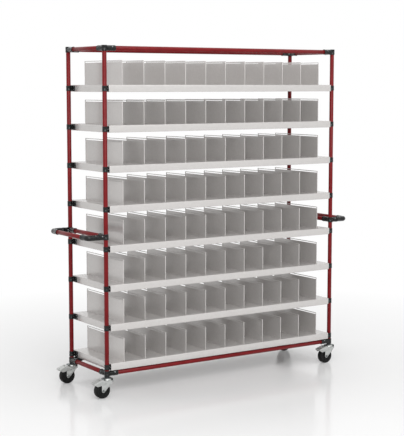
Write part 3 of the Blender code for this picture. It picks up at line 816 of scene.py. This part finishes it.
@dataclass
class ClampJoint:
    """A pressed joint in two halves that clasps an upright and a tube along each of two arms."""

    first_way: Vector
    second_way: Vector
    first_length: float = RACK.sleeve_length
    second_length: float = RACK.sleeve_length
    capped: bool = False
    bore: float = 0.0142
    collar: float = 0.0178
    sleeve: float = 0.0172
    bead: float = 0.0179
    flange: float = 0.0208
    sheet: float = 0.0036
    gusset: float = 0.044
    tee_gusset: float = 0.026
    slant: float = 0.003
    bare_end: float = 0.010
    split: float = 0.0003
    screw_rise: float = 0.009
    bolt_place: float = 0.0285
    screw_place: float = 0.050
    bolt: Fastener = Fastener(0.010, 0.0042, 0.0072)
    screw: Fastener = SET_SCREW

    def local(self) -> Matrix:
        """Return the matrix from the joint's own axes, its arms along +X and +Y, to the rack's."""
        return Matrix((self.first_way, self.second_way, Z)).transposed().to_4x4()

    def ring(self) -> BMesh:
        """Make the collar on the upright.

        Returns:
            The collar with its rolled rims and, on top joints, the tube's cap.
        """
        half = RACK.joint_height / 2
        side = [*line(self.bore, half, (0, -0.5), (0.8, 0)), *line(self.collar, half, (-1.2, 0), (0, -1.2)),
                *line(self.collar, 0, (0, 1.6), (-0.7, 0.7))]
        ring = lathe(mirrored(side), 40, closed=True)
        if not self.capped:
            return ring
        cap = lathe([(0, half - 0.0002), (self.bore * 0.72, half - 0.0004), (self.bore * 0.86, half - 0.0012),
                     (self.bore + 0.0002, half - 0.0014), (self.bore + 0.0002, half - 0.004)], 32)
        return gathered(ring, cap)

    def arm(self, way: Vector, length: float) -> BMesh:
        """Make the sleeve round one tube.

        Args:
            way: the axis that the tube runs along.
            length: how far the sleeve reaches from the upright's axis.

        Returns:
            The sleeve, rolled at its end, with a bead where the halves' edges are turned.
        """
        start = self.collar * 0.72
        wall = [(self.bore, start), (self.sleeve, start), (self.sleeve, length - 0.0075),
                *line(self.bead, length, (0, -6), (0, -1.8), (-1.2, -0.4)),
                *line(self.bore, length, (0.6, 0), (0, -0.6))]
        return moved(lathe(wall, 40, closed=True), along(way))

    def halves(self) -> BMesh:
        """Make the flanges in which the upper and lower halves meet.

        Returns:
            The flanges, with the web between the arms.
        """
        rim, reach_x, reach_y = self.flange, self.first_length - self.bare_end, self.second_length - self.bare_end
        inner, low, slant = self.sleeve - 0.002, self.collar * 0.7, self.slant
        near = self.gusset if self.first_length == self.second_length else self.tee_gusset
        web = [(low, low), (reach_x, inner), (reach_x - slant, rim), (near, rim), (rim, near), (rim, reach_y - slant),
               (inner, reach_y)]
        outer_x = [(0.012, -inner), (0.016, -rim), (reach_x - slant, -rim), (reach_x, -inner)]
        outer_y = [(-inner, 0.012), (-inner, reach_y), (-rim, reach_y - slant), (-rim, 0.016)]
        layers = ((self.split, self.sheet / 2), (-self.sheet / 2, -self.split))
        return gathered(*[slab(outline, *layer, 0.0005) for outline in (web, outer_x, outer_y) for layer in layers])

    def body(self) -> BMesh:
        """Return the joint's pressed halves."""
        return gathered(self.ring(), self.arm(X, self.first_length), self.arm(Y, self.second_length), self.halves())

    def bolts(self) -> BMesh:
        """Make the joint's bolt and screws.

        Returns:
            The clamp bolt and nut through the web, and a set screw in the outer side of each sleeve.
        """
        spot = Vector((self.bolt_place, self.bolt_place - 0.002, self.sheet / 2))
        below = Vector((spot.x, spot.y, -self.sheet / 2))
        parts = [moved(self.bolt.head(), along(Z, spot)), moved(self.bolt.head(), along(-Z, below))]
        for way, side, length in ((X, -Y, self.first_length), (Y, -X, self.second_length)):
            place = way * min(self.screw_place, length - 0.018)
            tilt = (side * (self.sleeve - 0.0004) + Z * self.screw_rise).normalized()
            parts.append(moved(self.screw.socket_head(), along(tilt, place + tilt * (self.sleeve - 0.0003))))
        return gathered(*parts)

    def build(self, node: str, centre: Vector) -> None:
        """Put the joint in the place of a node.

        Args:
            node: the node's name.
            centre: where the tubes' axes cross.
        """
        place = Matrix.Translation(centre) @ self.local()
        body, bolts = self.body(), self.bolts()
        deliver(f"{node}_halves", body, BLACK_JOINT, nodes=[node], matrix=place)
        deliver(f"{node}_bolts", bolts, BOLT_ZINC, matrix=place)
        body.free()
        bolts.free()


@dataclass
class Handle:
    """A push handle's tees on the uprights and bent sleeves; its bar across and the cross tube behind it are laid with
    the other tubes.
    """

    end: EndX
    tee_length: float = 0.050
    bend_radius: float = 0.020
    sleeve: float = 0.0172
    lip: float = 0.0012
    bead: float = 0.0007
    bead_run: float = 0.0077
    screw_place: float = 0.052
    arm: float = 0.014
    arm_wall: float = 0.0015
    screw: Fastener = SET_SCREW

    def elbow(self) -> BMesh:
        """Bend the elbow's sleeve.

        Returns:
            The sleeve in its own axes, from +X round the corner to +Y, with beads at its ends.
        """
        pipe = PipeBender(self.sleeve - self.lip, X * RACK.sleeve_length, -X, 40)
        straight = RACK.sleeve_length - self.bend_radius - self.bead_run
        half = [(0.0006, self.lip), (0.0006, self.bead), (0.005, 0.0), (0.0015, -self.bead), (straight, 0.0)]
        for length, growth in half:
            pipe.push(length, growth)
        pipe.bend(Y, self.bend_radius, 12)
        for length, growth in reversed(half):
            pipe.push(length, -growth)
        return pipe.closed()

    def seam(self) -> BMesh:
        """Make the flange in which the elbow's halves meet.

        Returns:
            The flange in the elbow's crook, as one plate of each half.
        """
        rim, inner, length = self.sleeve + 0.0022, self.sleeve - 0.002, RACK.sleeve_length - 0.012
        crook = [(inner + 0.003, inner + 0.003), (length, inner), (length - 0.003, rim), (inner + 0.016, rim),
                 (rim, inner + 0.016), (rim, length - 0.003), (inner, length)]
        return gathered(*[slab(crook, low, high, 0.0004) for low, high in ((0.0002, 0.0016), (-0.0016, -0.0002))])

    def stub(self) -> BMesh:
        """Make the short arm tube between the elbow and the tee.

        Returns:
            The tube, along +X.
        """
        low, high = RACK.sleeve_length - 0.01, RACK.handle_reach - RACK.collar_radius - 0.0005
        inner = self.arm - self.arm_wall
        wall = [(inner, low), (self.arm, low), (self.arm, high), (inner, high)]
        return moved(lathe(wall, closed=True), along(X))

    def screws(self) -> BMesh:
        """Make the elbow's set screws.

        Returns:
            The screws, one by each end.
        """
        parts = []
        for way, side in ((X, Y), (Y, X)):
            tilt = (Z * 0.8 - side * 0.6).normalized()
            place = way * self.screw_place + tilt * (self.sleeve - 0.0003)
            parts.append(moved(self.screw.socket_head(), along(tilt, place)))
        return gathered(*parts)

    def build(self) -> None:
        """Build the tees and elbows at both faces."""
        outward = X * self.end.value
        elbow, screws = gathered(self.elbow(), self.seam(), self.stub()), self.screws()
        for face in FaceY:
            inward = Y * -face.value
            name = corner_name(self.end, face)
            centre = RACK.corner(self.end, face, RACK.handle_height)
            ClampJoint(outward, inward, first_length=self.tee_length).build(f"handle_tee_{name}", centre)
            turn = Matrix((-outward, inward, Z)).transposed().to_4x4()
            place = Matrix.Translation(centre + outward * RACK.handle_reach) @ turn
            deliver(f"handle_elbow_{name}_sleeve", elbow, BLACK_JOINT, nodes=[f"handle_elbow_{name}"], matrix=place)
            deliver(f"handle_elbow_{name}_screws", screws, BOLT_ZINC, matrix=place)
        elbow.free()
        screws.free()


@dataclass
class ShelfClamp:
    """The clamp that carries a tray: a split ring on the upright, ears and a plate on the tray's end."""

    bore: float = 0.0141
    ring: float = 0.0164
    ring_half: float = 0.0166
    plate_half: float = 0.018
    reach: float = 0.0207
    plate: float = 0.0025
    plate_inward: float = 0.048
    plate_outward: float = 0.018
    ear_half: float = 0.007
    split: float = 0.0004
    bolt_place: float = 0.0122
    screw_rise: float = 0.009
    screw_inset: float = 0.011
    bolt: Fastener = Fastener(0.0075, 0.0026, 0.0050, 0.0007)
    screw: Fastener = Fastener(0.0075, 0.0018)

    def body(self) -> BMesh:
        """Make the clamp's ring, ears and plate.

        Returns:
            The clamp, with its ears towards +X and the plate's long side towards +Y.
        """
        half, soft = self.ring_half, 0.0008
        side = [(self.bore, half), (self.ring - soft, half), (self.ring, half - soft), (self.ring, 0.0016),
                (self.ring - 0.0004, 0.0009)]
        parts = [lathe(mirrored(side), 36, closed=True)]
        back = self.reach - self.plate
        for low, high in ((-self.ear_half, -self.split), (self.split, self.ear_half)):
            parts.append(block((self.bore, low, -half), (back + 0.0006, high, half), 0.0006))
        plate = slab(self.plate_outline(), back, self.reach, 0.0007)
        parts.append(moved(plate, QUARTER_Z @ QUARTER_X))
        return gathered(*parts)

    def plate_outline(self) -> Outline:
        """Draw the plate that lies along the tray's end.

        Returns:
            Its outline, with the corners cut off.
        """
        out, far, half, cut = -self.plate_outward, self.plate_inward, self.plate_half, 0.004
        return [(out + cut, -half), (far - cut, -half), (far, -half + cut), (far, half - cut), (far - cut, half),
                (out + cut, half), (out, half - cut), (out, -half + cut)]

    def bolts(self) -> BMesh:
        """Make the clamp's bolt and screws.

        Returns:
            The bolt in the plate's short side and the two screws in its long side.
        """
        back = X * (self.reach - self.plate)
        parts = [moved(self.bolt.head(), along(-X, back - Y * self.bolt_place))]
        for height in (-self.screw_rise, self.screw_rise):
            place = back + Y * (self.plate_inward - self.screw_inset) + Z * height
            parts.append(moved(self.screw.socket_head(), along(-X, place)))
        return gathered(*parts)

    def build(self) -> None:
        """Put eight clamps on each upright."""
        body, bolts = self.body(), self.bolts()
        for end, face in CORNERS:
            name = corner_name(end, face)
            turn = Matrix.Diagonal((-end.value, -face.value, 1, 1))
            rows = {"shelf_clamps": (body, BLACK_JOINT), "shelf_clamp_bolts": (bolts, BOLT_ZINC)}
            for words, (part, finish) in rows.items():
                row = []
                for level in range(RACK.shelf_count):
                    height = RACK.first_shelf - RACK.shelf_lip / 2 + level * RACK.shelf_pitch
                    row.append(moved(part.copy(), Matrix.Translation(RACK.corner(end, face, height)) @ turn))
                whole = gathered(*row)
                deliver(f"{words}_{name}", whole, finish, nodes=[f"upright_{name}"])
                whole.free()
        body.free()
        bolts.free()


@dataclass
class DividedShelf:
    """A tray folded from sheet and the row of dividers welded on it."""

    length: float = 1.758
    depth: float = 0.511
    sheet: float = 0.0015
    flange: float = 0.014
    bend: float = 0.003
    count: int = 11
    pitch: float = 0.1554
    height: float = 0.153
    inset: float = 0.0125
    bar: float = 0.0045
    slot: float = 0.007
    foot: float = 0.012
    panel_half: float = 0.00075
    weld_pitch: float = 0.105

    def tray(self) -> BMesh:
        """Fold the tray.

        Returns:
            A box without its bottom, its rim turned in and its bends rounded, with the sheet's wall.
        """
        low = (-self.length / 2, -self.depth / 2, -RACK.shelf_lip)
        bm = block(low, (self.length / 2, self.depth / 2, 0))
        bmesh.ops.delete(bm, geom=[face for face in bm.faces if face.normal.z < -0.5], context="FACES_ONLY")
        rim = [edge for edge in bm.edges if edge.is_boundary]
        turned_in = bmesh.ops.extrude_edge_only(bm, edges=rim)["geom"]
        for point in only(bmesh.types.BMVert, turned_in):
            point.co.x -= self.flange if point.co.x > 0 else -self.flange
            point.co.y -= self.flange if point.co.y > 0 else -self.flange
        bmesh.ops.recalc_face_normals(bm, faces=bm.faces)
        soften(bm, self.bend, 4, 60)
        bmesh.ops.solidify(bm, geom=bm.faces[:], thickness=self.sheet)
        return put_right(bm)

    def divider(self) -> BMesh:
        """Make one divider.

        Returns:
            A bar hoop with the sheet panel in it and the panel's welded foot.
        """
        half, bar, skin = self.depth / 2 - self.inset, self.bar, self.panel_half
        inner, under = half - bar, self.height - bar
        hoop = [(-half, 0), (-half, self.height), (half, self.height), (half, 0), (inner, 0), (inner, under),
                (-inner, under), (-inner, 0)]
        parts = [moved(side_slab(hoop, -bar / 2, bar / 2, 0.0009, 3), QUARTER_Z)]
        parts.append(block((-skin, -inner - 0.001, 0), (skin, inner + 0.001, under - self.slot), 0.0003, 1))
        parts.append(block((0, -inner + 0.012, 0.0001), (self.foot, inner - 0.012, 0.0013), 0.0004, 1))
        for k in range(5):
            weld = lathe(line(0, 0, (0, 1.55), (1.8, 1.5), (2.8, 1.2)), 12)
            parts.append(moved(weld, Matrix.Translation((self.foot * 0.55, (k - 2) * self.weld_pitch, 0))))
        return gathered(*parts)

    def build(self) -> None:
        """Build the eight trays and their dividers."""
        tray, divider = self.tray(), self.divider()
        row = []
        for k in range(self.count):
            x = self.pitch * (k - (self.count - 1) / 2)
            row.append(moved(divider.copy(), Matrix.Translation((x, 0, 0))))
        dividers = gathered(*row)
        for level in range(RACK.shelf_count):
            node = f"shelf_{level + 1}"
            place = Matrix.Translation((0, 0, RACK.first_shelf + level * RACK.shelf_pitch))
            deliver(f"{node}_tray", tray, SHEET, nodes=[node], matrix=place, smooth=50)
            deliver(f"{node}_dividers", dividers, SHEET, nodes=[node], matrix=place)
        for part in (tray, divider, dividers):
            part.free()


@dataclass
class Caster:
    """A braked swivel caster: stem, bearing head, lock plate, fork, wheel and foot pedal, all from its foot."""

    end: EndX
    face: FaceY
    trail: float = 0.037
    wheel_radius: float = 0.050
    wheel_half: float = 0.018
    tread: float = 0.010
    crown: float = 0.106
    sheet: float = 0.0025
    fork_inner: float = 0.020
    fork_outer: float = 0.0225
    eye: float = 0.012
    back: float = 0.034
    front: float = 0.028
    crown_sheet: float = 0.004
    plug: float = 0.050
    hexagon: float = 0.0163
    ribs: Span = (-0.014, 0.008)
    rib_half: float = 0.0013
    head_top: float = 0.1235
    plate_sheet: float = 0.0026
    plate_half: float = 0.017
    plate_reach: float = 0.032
    plate_bend: float = 0.004
    plate_back: float = 0.005
    plate_front: float = 0.026
    pin_back: float = 0.020
    pin_height: float = 0.098
    pedal_tip: float = 0.100
    pedal_back: float = 0.042
    pedal_top: float = 0.122
    pedal_drop: float = 0.042
    pedal_ear: float = 0.009
    shoe_low: float = 0.1062
    shoe_length: float = 0.010
    shoe_half: float = 0.010
    tip_height: float = 0.102
    pedal_inner: float = 0.023
    pedal_outer: float = 0.0255
    nut: Fastener = Fastener(0.013, 0.0060, 0.0085, 0.001)

    def name(self) -> str:
        """Return the caster's name in the node names."""
        return f"caster_{corner_name(self.end, self.face)}"

    def put(self, words: str, bm: BMesh, finish: Finish, body: str, nodes: Sequence[str] = ()) -> None:
        """Make a piece of a mesh that is laid out from the caster's foot, and free the mesh.

        Args:
            words: the piece's name after the caster's.
            bm: its mesh.
            finish: its finish.
            body: the frame, or the caster's own body that it rides on.
            nodes: the caster's solids that it stands for.
        """
        place = Matrix.Translation(RACK.corner(self.end, self.face))
        owner = body if body == "frame" else f"{self.name()}_{body}"
        deliver(f"{self.name()}_{words}", bm, finish, owner, [f"{self.name()}_{node}" for node in nodes], place)
        bm.free()

    def axled(self, bm: BMesh) -> BMesh:
        """Turn a mesh about Z to lie about the wheel's axle."""
        return moved(bm, Matrix.Translation((-self.trail, 0, self.wheel_radius)) @ QUARTER_X)

    def stem(self) -> BMesh:
        """Make the stem and kingpin.

        Returns:
            The plug in the upright, the hexagon under the joint and the kingpin with its riveted end.
        """
        low, high = self.head_top + 0.0033, RACK.foot - 0.0003
        top = RACK.foot + self.plug
        plug = lathe([*line(0, top, (0, 0), (11, 0), (12.2, -1.2)),
                      *line(0, high, (12.2, 0), (14.8, -0.4), (14.8, -1), (0, -1))])
        hexagon = slab(ngon(6, self.hexagon, pi / 6), low, high - 0.0008, 0.0008, 3)
        pin = lathe([*line(0, low, (0, 2), (6, 2)),
                     *line(0, self.crown, (6, -0.4), (9.5, -0.4), (9.8, -2), (8, -4.4), (0, -5))], 28)
        return gathered(plug, hexagon, pin)

    def bearing(self) -> BMesh:
        """Make the swivel head.

        Returns:
            The ball cover, with the seal's groove round it and the crown's race below.
        """
        cover = [*line(0, self.head_top, (6.3, -0.5), (19, 0), (22.5, -0.8), (25.5, -3), (27.5, -6.2), (27.9, -7.8),
                       (26.2, -8.6), (26.2, -9.8), (28, -10.4)),
                 *line(0, self.crown + self.crown_sheet, (28, 0.6), (26.8, -0.3), (6.3, -0.3))]
        return lathe(cover, 48, closed=True)

    def lock_plate(self) -> BMesh:
        """Bend the lock plate over the swivel head.

        Returns:
            The strip, short at the back and long at the front, with two ribs on its top.
        """
        reach, sheet, low, bend = self.plate_reach, self.plate_sheet, self.head_top, self.plate_bend
        top, low_back, low_front = low + sheet, low - self.plate_back, low - self.plate_front
        outline = [(-reach, low_back), (-reach, low - bend), (-reach + bend * 0.3, low - bend * 0.3),
                   (-reach + bend, low), (reach - bend, low), (reach - bend * 0.3, low - bend * 0.3),
                   (reach, low - bend), (reach, low_front), (reach + sheet, low_front),
                   (reach + sheet, top - bend - sheet), (reach + sheet - bend * 0.45, top - bend * 0.6),
                   (reach - bend, top), (-reach + bend, top), (-reach - sheet + bend * 0.45, top - bend * 0.6),
                   (-reach - sheet, top - bend - sheet), (-reach - sheet, low_back)]
        strip = side_slab(outline, -self.plate_half, self.plate_half, 0.0007)
        ribs = [block((-0.026, y - 0.0016, top - 0.0006), (0.026, y + 0.0016, top + 0.0002), 0.0003)
                for y in (-0.013, 0.013)]
        return gathered(strip, *ribs)

    def cheek(self, side: int) -> BMesh:
        """Make one leg of the fork.

        Args:
            side: -1 for the leg towards -Y, 1 for the other.

        Returns:
            The slanted cheek with its round eye, and the pad on the eye.
        """
        foot = arc((-self.trail, self.wheel_radius), self.eye, range(180, 331, 15))
        outline = [(-self.trail - self.eye, self.crown - 0.015), *foot, (self.front, self.crown - 0.006),
                   (self.front, self.crown + 0.001), (-self.back, self.crown + 0.001)]
        low, high = sorted((side * self.fork_inner, side * self.fork_outer))
        leg = side_slab(outline, low, high, 0.0006)
        pad = lathe(line(0, 0, (4.5, 0), (9.5, 0), (8.5, 0.7), (4.5, 0.7)), 28, closed=True)
        place = Vector((-self.trail, side * (self.fork_outer - 0.0002), self.wheel_radius))
        return gathered(leg, moved(pad, along(Y * side, place)))

    def fork(self) -> BMesh:
        """Make the fork.

        Returns:
            The crown with its bends, two cheeks, their strengthening ribs and the pedal's pins.
        """
        low, top = self.crown, self.crown + self.crown_sheet
        crown = side_slab([(-self.back, low), (-self.back, top - 0.0012), (-self.back + 0.0012, top),
                           (self.front - 0.0012, top), (self.front, top - 0.0012), (self.front, low)],
                          -self.fork_outer, self.fork_outer, 0.0011, 3)
        parts = [crown, self.cheek(-1), self.cheek(1)]
        for side in (-1, 1):
            for x in self.ribs:
                rib = block((x - self.rib_half, side * self.fork_outer - 0.0012, self.crown - 0.030 - x * 0.8),
                            (x + self.rib_half, side * self.fork_outer + 0.0004, self.crown - 0.002), 0.0005)
                parts.append(rib)
            pin = lathe(line(0, 0, (0, 0), (3, 0), (3, 3.6), (4.2, 3.6), (3.8, 4.6), (0, 5)), 20)
            place = Vector((-self.pin_back, side * (self.fork_outer - 0.0004), self.pin_height))
            parts.append(moved(pin, along(Y * side, place)))
        return gathered(*parts)

    def axle(self) -> BMesh:
        """Make the axle.

        Returns:
            The shank, with a hexagon head on one cheek and a lock nut on the other.
        """
        seat = self.fork_outer + 0.0006
        shank = lathe([(0, seat + 0.001), (0.004, seat + 0.001), (0.004, -seat - 0.001), (0, -seat - 0.001)], 24)
        ends = [moved(self.nut.head(), along(Z, Z * seat)), moved(self.nut.head(), along(-Z, -Z * seat))]
        return self.axled(gathered(shank, *ends))

    def tyre(self) -> BMesh:
        """Make the rubber tread.

        Returns:
            The tread, crowned, with rounded shoulders and a fine mould line in the middle.
        """
        full, half, inner = self.wheel_radius, self.wheel_half, self.wheel_radius - self.tread
        side = [*line(inner, half, (0, -1.6), (1.2, -0.3)),
                *line(full, half, (-4, 0), (-2, -0.6), (-0.7, -1.8), (-0.2, -3.6), (0, -6)),
                *line(full, 0, (0, 0.6), (0.2, 0))]
        whole = mirrored(side)
        whole.pop(len(side))
        return self.axled(lathe(whole, 64, closed=True))

    def hub(self) -> BMesh:
        """Make the wheel's moulded core.

        Returns:
            A rim under the tread, a dished web with ribs and the bearing's boss.
        """
        half, rim = self.wheel_half, self.wheel_radius - self.tread + 0.0002
        side = [*line(0, half, (4.3, 1.5), (11.5, 1.5), (12.8, 0.4), (13.4, -5.2)),
                *line(rim, half, (-7, -5.8), (-4.5, -2.2), (-3.6, -1.2), (-0.8, -1.2), (0, -2))]
        parts = [lathe(mirrored(side), 48, closed=True)]
        for k in range(6):
            turn = Matrix.Rotation(pi / 3 * k, 4, "Z")
            for low, high in ((half - 0.0060, half - 0.0028), (0.0028 - half, 0.0060 - half)):
                rib = block((0.0125, -0.0011, low), (rim - 0.0040, 0.0011, high), 0.0005)
                parts.append(moved(rib, turn))
        return self.axled(gathered(*parts))

    def pedal(self) -> BMesh:
        """Make the pedal.

        Returns:
            A sloping top with its sides turned down, two ears on the pins, a lip at its tip and a shoe.
        """
        sheet, top, tip = self.sheet, self.pedal_top, -self.pedal_tip
        bottom = top - self.pedal_drop
        side_line = [(tip, self.tip_height - 0.0006), (tip, self.tip_height - 0.008), (tip + 0.020, bottom + 0.0005)]
        ear = arc((-self.pin_back, self.pin_height), self.pedal_ear, range(-90, 76, 15))
        outline = [*side_line, *ear, (-self.pedal_back + 0.002, top - 0.0008), (-self.pedal_back, top - 0.0006)]
        parts = [side_slab(outline, self.pedal_inner, self.pedal_outer, 0.0007),
                 side_slab(outline, -self.pedal_outer, -self.pedal_inner, 0.0007)]
        slope = (top - self.tip_height) / (self.pedal_tip - self.pedal_back)
        half = self.pedal_outer - 0.0002
        xs = (tip, tip + 0.004, tip + 0.011, -0.058, -0.046, -self.pedal_back)
        deck = pierced(xs, (-half, -0.012, -0.0035, 0.0035, 0.012, half), [(1, 2), (3, 1), (3, 2), (3, 3)], -sheet, 0.0)
        shear = Matrix.Translation(Z * (self.tip_height - tip * slope))
        shear[2][0] = slope
        parts.append(moved(deck, shear))
        parts.append(block((tip, -self.pedal_outer + 0.001, self.tip_height - 0.008),
                           (tip + sheet, self.pedal_outer - 0.001, self.tip_height - 0.001), 0.0007))
        near, far, high = -self.pedal_back, -self.pedal_back - self.shoe_length, top - sheet / 2
        shoe = [(near, self.shoe_low), (near, high), (far, high - self.shoe_length * slope), (far, self.shoe_low)]
        parts.append(side_slab(shoe, -self.shoe_half, self.shoe_half, 0.0006))
        return gathered(*parts)

    def build(self) -> None:
        """Build the caster's pieces on their bodies."""
        self.put("stem_and_kingpin", self.stem(), DARK_STEEL, "frame", ["stem"])
        self.put("swivel_head", self.bearing(), ZINC, "swivel", ["fork"])
        self.put("lock_plate", self.lock_plate(), BOLT_ZINC, "swivel", ["fork"])
        self.put("fork_cheeks", self.fork(), ZINC, "swivel", ["fork"])
        self.put("axle_bolt", self.axle(), BOLT_ZINC, "swivel", ["axle"])
        self.put("tread", self.tyre(), TYRE, "wheel", ["wheel"])
        self.put("wheel_core", self.hub(), HUB, "wheel", ["wheel"])
        self.put("brake_pedal", self.pedal(), ZINC, "pedal", ["pedal"])


@dataclass
class Studio:
    """The pale floor, the soft lamps and the camera."""

    eye: Vector
    pitch: float = 83.7804
    heading: float = -33.6704
    focal: float = 100.88
    sensor: float = 36
    far: float = 200
    floor_half: float = 30.0
    sky: str = "ffffff"
    sky_light: float = 0.6
    floor_drop: float = 0.0001

    def floor(self) -> None:
        """Lay the floor under the wheels."""
        bm = bmesh.new()
        bmesh.ops.create_grid(bm, x_segments=4, y_segments=4, size=self.floor_half)
        mesh = bpy.data.meshes.new("studio_floor")
        bmesh.ops.translate(bm, vec=-Z * self.floor_drop, verts=bm.verts)
        bm.to_mesh(mesh)
        bm.free()
        mesh.materials.append(FLOOR.material())
        ground = bpy.data.objects.new("studio_floor", mesh)
        bpy.context.scene.collection.objects.link(ground)

    def world(self) -> None:
        """Show white to the camera and to gloss, and light the object with a plain grey-white."""
        world = bpy.data.worlds.new("studio")
        world.use_nodes = True
        bpy.context.scene.world = world
        world.node_tree.nodes.clear()
        white, light = [
            add(world, "Background", {"Color": linear(self.sky), "Strength": strength}).outputs[0]
            for strength in (1.0, self.sky_light)
        ]
        mixed = add(world, "MixShader", {0: seen_directly(world), 1: light, 2: white})
        add(world, "OutputWorld", {"Surface": mixed.outputs[0]})

    def lamp(self, name: str, place: Vector, target: Vector, size: float, watts: float) -> None:
        """Add a soft square lamp.

        Args:
            name: the lamp's name.
            place: where it hangs.
            target: what it faces.
            size: its side in metres.
            watts: its power.
        """
        light = bpy.data.lights.new(name, "AREA")
        light.size = size
        light.energy = watts
        item = bpy.data.objects.new(name, light)
        item.location = place
        item.rotation_euler = (target - place).to_track_quat("-Z", "Y").to_euler()
        bpy.context.scene.collection.objects.link(item)

    def camera(self) -> None:
        """Set up the camera at the photograph's viewing angle."""
        lens = bpy.data.cameras.new("camera")
        lens.sensor_width = self.sensor
        lens.lens = self.focal
        lens.clip_end = self.far
        item = bpy.data.objects.new("camera", lens)
        item.location = self.eye
        item.rotation_euler = (radians(self.pitch), 0, radians(self.heading))
        bpy.context.scene.collection.objects.link(item)
        bpy.context.scene.camera = item

    def build(self) -> None:
        """Set up the whole studio."""
        middle = Vector((0, 0, 1.0))
        self.floor()
        self.world()
        self.lamp("front_light", Vector((-3.5, -7.0, 5.0)), middle, 5.0, 420)
        self.lamp("right_light", Vector((4.0, -7.0, 8.0)), middle, 6.0, 110)
        self.lamp("top_light", Vector((0.0, 0.0, 6.5)), middle, 5.0, 100)
        self.camera()
        bpy.context.scene.view_settings.view_transform = "Standard"


def main() -> None:
    """Build every sub-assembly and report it."""
    logging.basicConfig(level=logging.INFO, format="%(name)s: %(message)s")
    Tubing().build()
    for end, face in CORNERS:
        ways = [X * -end.value, Y * -face.value]
        first, second = ways if end.value * face.value > 0 else reversed(ways)
        for level in Level:
            joint = ClampJoint(first, second, capped=level is Level.TOP)
            joint.build(f"{level.name.lower()}_joint_{corner_name(end, face)}", RACK.corner(end, face, level.value))
    for end in EndX:
        Handle(end).build()
    ShelfClamp().build()
    DividedShelf().build()
    for end, face in CORNERS:
        Caster(end, face).build()
    Studio(Vector((-4.5802, -6.8400, 1.9581))).build()


if __name__ == "__main__":
    main()
